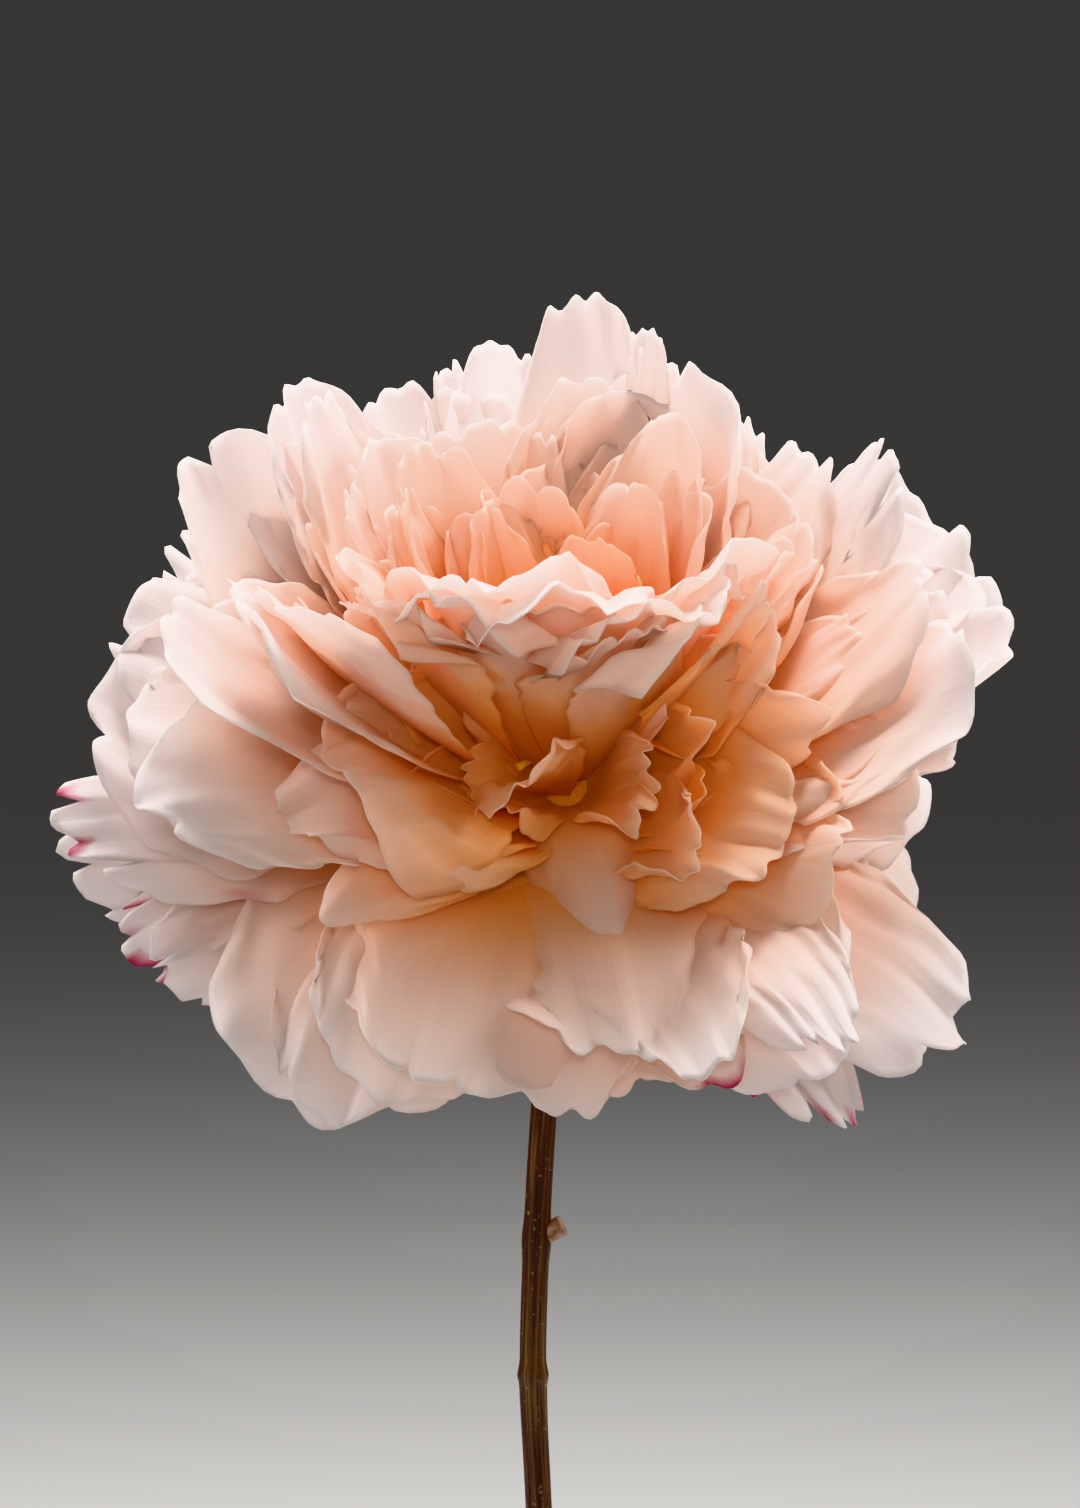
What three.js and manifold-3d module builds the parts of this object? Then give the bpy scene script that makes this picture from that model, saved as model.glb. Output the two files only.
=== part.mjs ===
// A double peony standing in a plain bottle-shaped bud vase.
// Millimetres, +Z up. The origin is the middle of the vase's flat foot, and the flower faces -Y.
import * as THREE from "three";
import { mergeVertices } from "three/addons/utils/BufferGeometryUtils.js";
import Module from "manifold-3d";

const wasm = await Module();
wasm.setup();

// ---- Driving sizes ----

const touchGap = 0.35;          // the air left between pieces that rest on each other

const vaseHeight = 165;
const footRadius = 31;
const bellyRadius = 45;
const bellyHeight = 46;
const shoulderHeight = 98;
const neckLength = 52;
const neckBoreRadius = 6.6;
const vaseWall = 4.2;
const vaseFloor = 6;
const lipFlare = 2.2;
const footBevel = 1.5;
const lipRound = 1;             // how far the lip's outer corner lies below its top
const vaseSides = 36;

const stemRadius = 2.7;
const heartRise = 152;          // from the vase's lip up to the heart of the bloom
const heartReach = 5;           // how far the heart stands to the right of the stem at the lip
const heartForward = 7;
const nodeRise = 35;            // from the lip up to the stem's ring
const nodeSwell = 0.7;
const stubRise = 62;            // from the lip up to the cut leaf stalk
const stubRadius = 1.9;
const stubLength = 3.4;
const stubLean = 62;            // degrees that the stalk leans away from the stem
const stemFootX = 1;
const stemFootY = 9;
const stemNeckY = 1.2;
// Rise above the lip and shift to the right, along the stem's bow.
const stemBow = [[10, -0.4], [35, -1.4], [67, -0.4], [94, 1.2], [120, 2.9]];
const stemForward = 1 / 60;     // how far the stem comes forwards for each millimetre above the lip

const bloomTilt = 22;           // degrees that the bloom nods towards the front
const bloomRadius = 90;         // where a petal reaches the lean that the table gives it
const coreRadius = 10;          // petals start at this distance from the heart
const petalThickness = 0.42;
const clawShare = 0.3;          // half of a claw's width as a share of the core that the claws stand round
const clawHalfWidth = clawShare * coreRadius;
const leastLeanStep = 5.8;      // degrees of lean kept between two petals that lie over each other
const sideMargin = 4;           // degrees of azimuth within which two petals count as over each other
const openLean = 28;            // lean of a claw whose petal closes over the heart
const spreadShare = 0.70;       // share of a petal's own lean that its claw takes
const leanPower = 1.4;          // how late a petal bends from its claw's lean to its own
const widestAt = 0.66;          // share of its length where a petal is widest
const tipNarrowing = 0.3;
const tipFrom = 0.2;            // share of its length where a petal starts to round off to its tip
const petalCup = 0.05;          // depth of a petal's hollow as a share of its width
const leastRing = 0.14;         // sine of the least lean at which the width still wraps round the axis
const mostWrap = 80;            // degrees that half a petal may wrap round the axis

const sepalLength = 33;
const sepalWidth = 19;
const sepalLean = 135;
const sepalCount = 5;
const sepalPoint = 0.27;
const sepalCup = 2;
const firstSepal = 36;          // azimuth of the first sepal

const carpelCount = 3;
const carpelRadius = 1.9;
const carpelHeight = 14;
const carpelOffset = 2.5;

// ---- Petals: name, azimuth, lean, length, width, how pointed the tip is ----
// Azimuth 0 faces the front and 90 the right. Lean 0 stands along the bloom's axis and 90 lies flat.

const petals = [
  ["crown_peak", 176, 39, 95, 30, 0.21],
  ["crown_second", -170, 46, 93, 34, 0.15],
  ["crown_broad", -153, 50, 88, 44, 0.14],
  ["crown_left", -132, 49, 92, 46, 0.14],
  ["crown_far_left", -115, 57, 93, 46, 0.15],
  ["crown_wall", 155, 35, 82, 56, 0.15],
  ["crown_right", 134, 50, 81, 40, 0.18],
  ["side_right_high", 113, 62, 88, 50, 0.15],
  ["side_right_far", 98, 76, 86, 58, 0.17],
  ["side_right_low", 86, 86, 73, 46, 0.14],
  ["side_right_inner", 83, 67, 77, 48, 0.14],
  ["side_left_high", -100, 66, 86, 42, 0.17],
  ["side_left_fold", -90, 80, 86, 48, 0.15],
  ["side_left_fork", -84, 96, 91, 34, 0.24],
  ["side_left_cup", -78, 58, 82, 52, 0.17],
  ["side_left_front", -70, 46, 72, 46, 0.17],
  ["side_left_streak", -66, 73, 81, 44, 0.15],
  ["guard_curl", -68, 105, 80, 30, 0.24],
  ["guard_left", -50, 97, 77, 60, 0.15],
  ["guard_left_low", -40, 114, 77, 44, 0.15],
  ["guard_front_left", -19, 106, 76, 52, 0.14],
  ["guard_stem", -2, 113, 72, 36, 0.17],
  ["guard_front", 10, 105, 71, 46, 0.15],
  ["guard_hook", 23, 114, 75, 32, 0.27],
  ["guard_fringe", 35, 107, 80, 36, 0.21],
  ["guard_fringe_low", 44, 116, 82, 32, 0.21],
  ["guard_right", 59, 101, 82, 60, 0.15],
  ["cup_left", -125, 40, 85, 40, 0.17],
  ["cup_front_left", -70, 27, 66, 44, 0.17],
  ["cup_front", -20, 14, 68, 50, 0.15],
  ["cup_front_right", 58, 22, 66, 44, 0.15],
  ["cup_right", 102, 36, 64, 42, 0.17],
  ["cup_back", 173, 28, 76, 40, 0.17],
  ["cup_back_right", 142, 21, 70, 36, 0.17],
  ["cup_back_left", -158, 36, 70, 40, 0.17],
  ["cup_back_low", -128, 24, 67, 34, 0.17],
  ["front_lobe", -44, 52, 52, 40, 0.11],
  ["front_ribbon", -14, 40, 42, 34, 0.15],
  ["front_tongue", 6, 90, 48, 30, 0.22],
  ["front_fin", 52, 74, 58, 42, 0.21],
  ["front_salmon", 38, 94, 60, 44, 0.15],
  ["back_high_left", -168, 92, 90, 54, 0.15],
  ["back_high_right", 168, 78, 90, 54, 0.15],
  ["back_left", -146, 72, 86, 52, 0.15],
  ["back_right", 146, 92, 86, 52, 0.15],
  ["back_low_left", -126, 96, 80, 56, 0.15],
  ["back_low_right", 122, 100, 78, 56, 0.15],
  ["back_under_left", -160, 113, 76, 54, 0.15],
  ["back_under_right", 158, 117, 76, 54, 0.15],
].map(([name, azimuth, lean, length, width, point]) => ({ name, azimuth, lean, length, width, point }));

// ---- Places worked out from the sizes ----

const stemLipX = -(neckBoreRadius - stemRadius - touchGap);
const heart = new THREE.Vector3(stemLipX + heartReach, -heartForward, vaseHeight + heartRise);
const bloomAxis = new THREE.Vector3(0, 0, 1).applyAxisAngle(new THREE.Vector3(1, 0, 0), radians(bloomTilt));
const receptacleRadius = coreRadius - touchGap;

function radians(degrees) {
  return (degrees * Math.PI) / 180;
}

function ease(value, from, to) {
  return THREE.MathUtils.smoothstep(value, from, to);
}

// ---- Materials ----

function finish(hex, roughness) {
  return new THREE.MeshStandardMaterial({ color: hex, roughness, metalness: 0 });
}

function node(name, geometry, hex, roughness) {
  const mesh = new THREE.Mesh(geometry, finish(hex, roughness));
  mesh.name = name;
  return mesh;
}

// ---- Joining solids ----

function toManifold(geometry) {
  const bare = geometry.clone();
  bare.deleteAttribute("normal");
  bare.deleteAttribute("uv");
  const welded = mergeVertices(bare, 1e-4);
  return new wasm.Manifold(new wasm.Mesh({
    numProp: 3,
    vertProperties: Float32Array.from(welded.attributes.position.array),
    triVerts: Uint32Array.from(welded.index.array),
  }));
}

function toGeometry(solid) {
  const mesh = solid.getMesh();
  const geometry = new THREE.BufferGeometry();
  geometry.setAttribute("position", new THREE.BufferAttribute(mesh.vertProperties, 3));
  geometry.setIndex(new THREE.BufferAttribute(mesh.triVerts, 1));
  return geometry;
}

function join(geometries) {
  const solids = geometries.map(toManifold);
  return toGeometry(solids.reduce((whole, solid) => whole.add(solid)));
}

// ---- Vase ----

function vaseOutside() {
  const neckRadius = neckBoreRadius + vaseWall;
  const neckStart = vaseHeight - neckLength;
  const curve = new THREE.CatmullRomCurve3([
    new THREE.Vector3(footRadius, footBevel, 0),
    new THREE.Vector3(bellyRadius, bellyHeight, 0),
    new THREE.Vector3((bellyRadius + neckRadius) / 2, shoulderHeight - touchGap, 0),
    new THREE.Vector3(neckRadius, neckStart + neckLength / 4, 0),
    new THREE.Vector3(neckRadius, vaseHeight - neckLength / 4, 0),
    new THREE.Vector3(neckRadius + lipFlare, vaseHeight - lipRound, 0),
  ], false, "centripetal");
  return curve.getPoints(14);
}

// The outer line runs up, and the inner line comes down a wall's thickness inside it.
function vaseGeometry() {
  const outside = vaseOutside().map((p) => new THREE.Vector2(p.x, p.y));
  const inside = outside
    .filter((p) => p.y > vaseFloor + vaseWall && p.y < vaseHeight - 2 * lipRound)
    .map((p) => new THREE.Vector2(Math.max(p.x - vaseWall, neckBoreRadius), p.y))
    .reverse();
  const profile = [
    new THREE.Vector2(0, 0),
    new THREE.Vector2(footRadius - footBevel, 0),
    ...outside,
    new THREE.Vector2(neckBoreRadius + vaseWall / 2 + lipFlare, vaseHeight),
    new THREE.Vector2(neckBoreRadius + lipFlare / 2, vaseHeight - lipRound / 2),
    ...inside,
    new THREE.Vector2(footRadius - 2 * vaseWall, vaseFloor),
    new THREE.Vector2(0, vaseFloor),
  ];
  const geometry = new THREE.LatheGeometry(profile, vaseSides);
  geometry.rotateX(Math.PI / 2);
  return geometry;
}

// ---- Stem with its receptacle, ring and cut stalk ----

// The stem stands on the vase's floor, leans on the left of the neck and bows up to the heart.
function stemCurve() {
  const neckFoot = vaseHeight - (3 * neckLength) / 4;
  const points = [
    new THREE.Vector3(stemFootX, stemFootY, vaseFloor + touchGap + stemRadius / 2),
    new THREE.Vector3(stemLipX * 0.6, stemFootY / 2, neckFoot / 2),
    new THREE.Vector3(stemLipX * 0.92, stemNeckY, neckFoot),
    new THREE.Vector3(stemLipX, 0, vaseHeight),
    ...stemBow.map(([rise, x]) => new THREE.Vector3(stemLipX + x, -rise * stemForward, vaseHeight + rise)),
    heart.clone().addScaledVector(bloomAxis, -(coreRadius + 6)),
    heart.clone().addScaledVector(bloomAxis, -coreRadius / 2),
  ];
  return new THREE.CatmullRomCurve3(points, false, "centripetal");
}

function tubeAlong(curve, radius, steps, sides) {
  const section = new THREE.Shape();
  for (let k = 0; k < sides; k += 1) {
    const angle = (k / sides) * 2 * Math.PI;
    const x = radius * Math.cos(angle);
    const y = radius * Math.sin(angle);
    if (k === 0) {
      section.moveTo(x, y);
    } else {
      section.lineTo(x, y);
    }
  }
  section.closePath();
  return new THREE.ExtrudeGeometry(section, { steps, extrudePath: curve, bevelEnabled: false });
}

function pointAtHeight(curve, height) {
  const points = curve.getPoints(400);
  return points.reduce((best, p) => (Math.abs(p.z - height) < Math.abs(best.z - height) ? p : best));
}

function stemRing(curve) {
  const ring = new THREE.SphereGeometry(1, 12, 8);
  const wide = stemRadius + nodeSwell;
  ring.scale(wide, wide, stemRadius);
  const at = pointAtHeight(curve, vaseHeight + nodeRise);
  ring.translate(at.x, at.y, at.z);
  return ring;
}

function stalkStub(curve) {
  const length = stemRadius + stubLength;
  const stub = new THREE.CylinderGeometry(stubRadius, stubRadius * 1.2, length, 10);
  stub.translate(0, length / 2, 0);
  stub.rotateZ(-radians(stubLean));
  stub.rotateX(Math.PI / 2);
  const at = pointAtHeight(curve, vaseHeight + stubRise);
  stub.translate(at.x, at.y, at.z);
  return stub;
}

function stemGeometry() {
  const curve = stemCurve();
  const receptacle = new THREE.SphereGeometry(receptacleRadius, 20, 14);
  receptacle.translate(heart.x, heart.y, heart.z);
  return join([tubeAlong(curve, stemRadius, 40, 12), receptacle, stemRing(curve), stalkStub(curve)]);
}

// ---- Petals ----

function clawLean(tipLean) {
  return openLean + spreadShare * tipLean;
}

// Lean of a petal at a distance from the heart: it starts at its claw's lean and eases to its own.
function leanAt(petal, distance) {
  const reach = Math.max((distance - coreRadius) / (bloomRadius - coreRadius), 0);
  const start = clawLean(petal.lean);
  return start + (petal.lean - start) * reach ** leanPower;
}

// Half of the azimuth that a petal covers where it is widest, and at its claw.
function halfSpread(petal) {
  const wideAt = coreRadius + widestAt * petal.length;
  const ring = wideAt * Math.max(Math.sin(radians(leanAt(petal, wideAt))), leastRing);
  const wide = petal.width / 2 / ring;
  const claw = clawHalfWidth / (coreRadius * Math.sin(radians(clawLean(petal.lean))));
  return THREE.MathUtils.radToDeg(Math.max(wide, claw));
}

function azimuthBetween(a, b) {
  const turn = Math.abs(a.azimuth - b.azimuth) % 360;
  return Math.min(turn, 360 - turn);
}

// Pushes apart the leans of petals that share some azimuth, until each pair keeps the least step.
function spreadLeans(list) {
  const settled = list.map((petal) => ({ ...petal, half: halfSpread(petal) }));
  const rounds = 60;
  for (let round = 0; round < rounds; round += 1) {
    for (let i = 0; i < settled.length; i += 1) {
      for (let j = i + 1; j < settled.length; j += 1) {
        const upright = list[i].lean <= list[j].lean;
        const inner = upright ? settled[i] : settled[j];
        const outer = upright ? settled[j] : settled[i];
        const short = leastLeanStep - (outer.lean - inner.lean);
        if (short > 0 && azimuthBetween(inner, outer) < inner.half + outer.half + sideMargin) {
          outer.lean += short / 2;
          inner.lean -= short / 2;
        }
      }
    }
  }
  return settled;
}

// Middle surface of a petal: u runs across it from -1 to 1, v from its claw to its tip.
function petalPoint(petal, u, v) {
  const widest = petal.width / 2;
  const claw = clawHalfWidth / widest;
  const rise = claw + (1 - claw) * Math.sin((Math.PI / 2) * Math.min(v / widestAt, 1)) ** 1.2;
  const narrowing = 1 - tipNarrowing * ease(v, 0.7, 1.05);
  const across = u * widest * rise * narrowing;
  const along = petal.length * (v - petal.point * u * u * ease(v, tipFrom, 1));
  const distance = coreRadius + along;
  const lean = leanAt(petal, distance);
  const lift = petal.cup * (u * u - 0.4) * ease(v, 0.1, 0.9);
  const bent = radians(lean) - lift / distance;
  const ringRadius = distance * Math.max(Math.sin(radians(lean)), leastRing);
  const most = radians(mostWrap);
  const azimuth = radians(petal.azimuth) + most * Math.tanh(across / ringRadius / most);
  return new THREE.Vector3(
    Math.sin(bent) * Math.sin(azimuth),
    -Math.sin(bent) * Math.cos(azimuth),
    Math.cos(bent),
  ).multiplyScalar(distance).applyAxisAngle(new THREE.Vector3(1, 0, 0), radians(bloomTilt)).add(heart);
}

function surfaceNormal(petal, u, v) {
  const step = 0.02;
  const right = petalPoint(petal, Math.min(u + step, 1), v);
  const left = petalPoint(petal, Math.max(u - step, -1), v);
  const far = petalPoint(petal, u, Math.min(v + step, 1));
  const near = petalPoint(petal, u, Math.max(v - step, 0));
  return right.sub(left).cross(far.sub(near)).normalize();
}

// A thin closed shell on both sides of the middle surface, with walls along its edge.
function shellGeometry(petal, columns, rows) {
  const positions = [];
  for (const side of [1, -1]) {
    for (let j = 0; j <= rows; j += 1) {
      for (let i = 0; i <= columns; i += 1) {
        const u = (2 * i) / columns - 1;
        const v = j / rows;
        const point = petalPoint(petal, u, v);
        point.addScaledVector(surfaceNormal(petal, u, v), (side * petalThickness) / 2);
        positions.push(...point.toArray());
      }
    }
  }
  const wide = columns + 1;
  const layer = wide * (rows + 1);
  const index = [];
  const quad = (a, b, c, d) => index.push(a, b, c, a, c, d);
  for (let j = 0; j < rows; j += 1) {
    for (let i = 0; i < columns; i += 1) {
      const a = j * wide + i;
      const b = layer + a;
      // The diagonals are mirrored about the petal's middle.
      if (i < columns / 2) {
        quad(a + 1, a + wide + 1, a + wide, a);
        quad(b + 1, b, b + wide, b + wide + 1);
      } else {
        quad(a, a + 1, a + wide + 1, a + wide);
        quad(b, b + wide, b + wide + 1, b + 1);
      }
    }
  }
  const rim = [];
  for (let i = 0; i < columns; i += 1) {
    rim.push(i);
  }
  for (let j = 0; j < rows; j += 1) {
    rim.push(j * wide + columns);
  }
  for (let i = columns; i > 0; i -= 1) {
    rim.push(rows * wide + i);
  }
  for (let j = rows; j > 0; j -= 1) {
    rim.push(j * wide);
  }
  rim.forEach((a, k) => {
    const b = rim[(k + 1) % rim.length];
    quad(b, a, layer + a, layer + b);
  });
  const geometry = new THREE.BufferGeometry();
  geometry.setAttribute("position", new THREE.Float32BufferAttribute(positions, 3));
  geometry.setIndex(index);
  return geometry;
}

function petalNodes() {
  return spreadLeans(petals).map((petal) => {
    const shape = { ...petal, cup: petalCup * petal.width };
    return node(`petal_${petal.name}`, shellGeometry(shape, 6, 7), 0xf0cfc2, 0.6);
  });
}

function sepalNodes() {
  const nodes = [];
  for (let k = 0; k < sepalCount; k += 1) {
    const sepal = {
      azimuth: firstSepal + (k * 360) / sepalCount,
      lean: sepalLean,
      length: sepalLength,
      width: sepalWidth,
      point: sepalPoint,
      cup: sepalCup,
    };
    nodes.push(node(`sepal_${k + 1}`, shellGeometry(sepal, 4, 5), 0x5f6b34, 0.6));
  }
  return nodes;
}

// ---- Carpels: small flasks on top of the receptacle ----

function carpelGeometry(turn) {
  const foot = receptacleRadius + touchGap;
  const profile = [
    [0, 0], [0.55, 0.02], [0.95, 0.2], [1, 0.42], [0.62, 0.66], [0.3, 0.82], [0.42, 0.95], [0, 1],
  ].map(([r, h]) => new THREE.Vector2(r * carpelRadius, foot + h * carpelHeight));
  const flask = new THREE.LatheGeometry(profile, 10);
  flask.rotateX(Math.PI / 2);
  flask.translate(carpelOffset, 0, 0);
  flask.rotateZ(turn);
  flask.rotateX(radians(bloomTilt));
  flask.translate(heart.x, heart.y, heart.z);
  return flask;
}

function carpelNodes() {
  const nodes = [];
  for (let k = 0; k < carpelCount; k += 1) {
    const turn = (k / carpelCount) * 2 * Math.PI;
    nodes.push(node(`carpel_${k + 1}`, carpelGeometry(turn), 0xc9b27a, 0.6));
  }
  return nodes;
}

// ---- The whole object ----

const whole = new THREE.Group();
whole.add(node("vase", vaseGeometry(), 0x4a2f22, 0.35));
whole.add(node("stem", stemGeometry(), 0x5a4420, 0.55));
whole.add(...sepalNodes());
whole.add(...carpelNodes());
whole.add(...petalNodes());

export default whole;
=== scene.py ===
"""A double peony in a plain bud vase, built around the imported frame.

Lengths are millimetres unless a name or comment says metres, scaled once, in mesh_from_grid.
Azimuth 0 faces the front (-Y) and 90 the right (+X); lean 0 stands along the bloom's axis.
"""
import math

import bmesh
import bpy
import numpy as np
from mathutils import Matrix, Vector


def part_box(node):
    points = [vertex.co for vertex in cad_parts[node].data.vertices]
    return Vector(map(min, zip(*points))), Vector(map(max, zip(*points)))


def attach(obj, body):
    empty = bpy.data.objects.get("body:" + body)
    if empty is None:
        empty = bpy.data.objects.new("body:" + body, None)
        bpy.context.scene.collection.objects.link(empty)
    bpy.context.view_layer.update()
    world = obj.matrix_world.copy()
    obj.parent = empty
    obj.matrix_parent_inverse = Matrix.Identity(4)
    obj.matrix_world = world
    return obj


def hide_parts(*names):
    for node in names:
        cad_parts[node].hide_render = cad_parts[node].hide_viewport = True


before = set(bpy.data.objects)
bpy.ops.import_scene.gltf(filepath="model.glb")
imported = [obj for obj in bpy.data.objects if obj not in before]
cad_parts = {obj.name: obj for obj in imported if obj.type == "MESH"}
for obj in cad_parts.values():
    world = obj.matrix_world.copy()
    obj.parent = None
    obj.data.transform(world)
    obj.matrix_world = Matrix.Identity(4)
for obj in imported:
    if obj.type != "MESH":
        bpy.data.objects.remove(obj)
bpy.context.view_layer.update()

MM = 0.001

# ---- Sizes shared with the frame ----

VASE_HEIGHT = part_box("vase")[1][2] / MM
BELLY_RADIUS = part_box("vase")[1][0] / MM
FOOT_RADIUS = 31.0
BELLY_HEIGHT = 46.0
SHOULDER_HEIGHT = 98.0
NECK_LENGTH = 52.0
NECK_BORE = 6.6                     # radius
VASE_WALL = 4.2
VASE_FLOOR = 6.0
LIP_FLARE = 2.2
LIP_ROUND = 1.6
FOOT_BEVEL = 1.5
TOUCH_GAP = 0.35

STEM_RADIUS = 2.7
STEM_LIP_X = -(NECK_BORE - STEM_RADIUS - TOUCH_GAP)
NODE_RISE = 35.0                    # from the lip up to the stem's ring
STUB_RISE = 62.0                    # from the lip up to the cut leaf stalk
STUB_LEAN = math.radians(28)
STUB_LENGTH = 4.9
STUB_RADIUS = 2.1

HEART = np.array([STEM_LIP_X + 5.0, -7.0, VASE_HEIGHT + 152.0])
TILT = math.radians(22)
BLOOM_AXIS = np.array([0.0, -math.sin(TILT), math.cos(TILT)])
CORE = 10.0                         # petals start at this distance from the heart
REACH = 90.0                        # where a petal has the lean that the table gives it
OPEN_LEAN = 28.0                    # lean of a claw whose petal closes over the heart
SPREAD_SHARE = 0.70                 # share of a petal's own lean that its claw takes
LEAN_POWER = 1.4
CLAW_HALF_WIDTH = 3.0
WIDEST_AT = 0.66                    # share of its length where a petal is widest
LEAST_RING = 0.14                   # sine of the least lean at which the width wraps round the axis
MOST_WRAP = math.radians(80)        # how far half a petal may wrap round the axis

SEPAL_COUNT = 5
SEPAL_LEAN = 135
SEPAL_LENGTH = 33
SEPAL_WIDTH = 19
CARPEL_COUNT = 3
CARPEL_HEIGHT = 14.0
CARPEL_RADIUS = 1.85
CARPEL_OFFSET = 2.5                 # from the bloom's axis

# ---- Sizes that only the looks have ----

FACE_TILT = math.radians(68)        # tilt of the second heart, which faces the front
PETAL_GRID = (32, 44)               # columns and rows
SEPAL_GRID = (20, 26)
PETAL_WALL = 0.3
SEPAL_WALL = 0.7
SWELL = 0.11                        # height of a petal's large waves, as a share of its width
RUFFLE = 0.065                      # and of the ruffles along its edge
CREASE = 0.022                      # and of its lengthwise creases
CRINKLE = 0.85                      # height of the finest waves at the tip
TOOTH = 0.011                       # depth of the tip's teeth, as a share of its length
SIDE_ROLL = 0.36                    # how far side petals turn their face forward, as a share of their width
STAMEN_COUNT = 22
STAMEN_TURN = 2.4                   # radians from one stamen to the next
STEM_SIDES = 40
VASE_SIDES = 112
COLOUR_REACH = 100.0                # distance from the heart over which the petals' colours change
BESIDE_FROM = 72                    # azimuth past which petals get smaller ones beside them
BESIDE_TWO_FROM = 112               # and past which they get two

# ---- Petals that stand for a CAD node: name, azimuth, lean, length, width, tip, options ----
# Options: sag and curl are degrees by which the petal and its tip bend down, cup and roll are the depth of
# its hollow and the rise of one side over the other, wild scales its waves, pale shifts its colours towards
# the heart as painted light, which makes the petal paler as if more brightly lit, and fleck 1 gives its edge
# crimson streaks.

FRAME_PETALS = [
    ("crown_peak", 176, 38, 94, 27, "smooth", {"cup": 1, "wild": 0.4}),
    ("crown_second", -170, 46, 93, 34, "round", {}),
    ("crown_broad", -153, 50, 88, 44, "round", {}),
    ("crown_left", -132, 49, 92, 46, "round", {}),
    ("crown_far_left", -115, 57, 93, 46, "lobed", {}),
    ("crown_wall", 155, 35, 82, 56, "lobed", {}),
    ("crown_right", 134, 50, 81, 40, "lobed", {}),
    ("side_right_high", 113, 62, 88, 50, "lobed", {}),
    ("side_right_far", 98, 71, 86, 58, "lobed", {"roll": 7}),
    ("side_right_low", 86, 74, 70, 46, "round", {"roll": 5}),
    ("side_right_inner", 83, 67, 77, 48, "round", {}),
    ("side_left_high", -100, 66, 86, 42, "lobed", {}),
    ("side_left_fold", -90, 80, 86, 48, "round", {}),
    ("side_left_fork", -84, 96, 91, 34, "fringed", {}),
    ("side_left_cup", -78, 58, 82, 52, "lobed", {}),
    ("side_left_front", -70, 46, 72, 46, "lobed", {}),
    ("side_left_streak", -66, 73, 81, 44, "round", {}),
    ("guard_curl", -68, 105, 80, 30, "fringed", {}),
    ("guard_left", -50, 97, 77, 60, "lobed", {"sag": 14}),
    ("guard_left_low", -40, 105, 75, 46, "round", {"sag": 6}),
    ("guard_front_left", -19, 90, 74, 56, "lobed", {"sag": 15, "cup": -2}),
    ("guard_stem", -2, 97, 70, 38, "lobed", {"sag": 14, "cup": -2}),
    ("guard_front", 10, 89, 69, 50, "lobed", {"sag": 15, "cup": -2}),
    ("guard_hook", 23, 101, 74, 34, "pointed", {"sag": 9, "fleck": 1}),
    ("guard_fringe", 35, 96, 78, 40, "lobed", {"sag": 10}),
    ("guard_fringe_low", 44, 106, 80, 38, "fringed", {"sag": 8, "fleck": 1}),
    ("guard_right", 60, 107, 84, 58, "round", {"roll": 6}),
    ("cup_left", -125, 40, 85, 40, "lobed", {}),
    ("cup_front_left", -70, 27, 66, 44, "fringed", {"curl": 8}),
    # pale on cup_front, front_ribbon and front_tongue is painted light: it makes these petals paler, as if
    # more brightly lit.
    ("cup_front", -20, 14, 68, 52, "lobed", {"curl": 14, "cup": 3, "pale": 7}),
    ("cup_front_right", 58, 22, 66, 44, "round", {"curl": 6}),
    ("cup_right", 102, 36, 64, 42, "round", {}),
    ("cup_back", 173, 28, 76, 40, "lobed", {}),
    ("cup_back_right", 142, 21, 70, 36, "lobed", {}),
    ("cup_back_left", -158, 36, 70, 40, "round", {}),
    ("cup_back_low", -128, 24, 67, 34, "lobed", {}),
    ("front_lobe", -50, 56, 54, 40, "round", {"cup": -2, "roll": -15, "wild": 1.4}),
    ("front_ribbon", -14, 44, 36, 20, "lobed", {"roll": 6, "wild": 2.6, "pale": 8}),
    ("front_tongue", 9, 63, 48, 26, "pointed", {"sag": 34, "cup": -3, "roll": 4, "pale": 10}),
    ("front_fin", 52, 70, 58, 42, "fringed", {"sag": 14, "roll": 14}),
    ("front_salmon", 40, 88, 60, 44, "round", {"sag": 20}),
    ("back_high_left", -168, 92, 90, 54, "lobed", {}),
    ("back_high_right", 168, 78, 90, 54, "round", {}),
    ("back_left", -146, 72, 86, 52, "lobed", {}),
    ("back_right", 146, 92, 86, 52, "lobed", {}),
    ("back_low_left", -126, 96, 80, 56, "round", {}),
    ("back_low_right", 122, 100, 78, 56, "round", {}),
    ("back_under_left", -160, 113, 76, 54, "lobed", {}),
    ("back_under_right", 158, 117, 76, 54, "lobed", {}),
]

# ---- Petals between them, too small or too close for solids of their own ----

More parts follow.
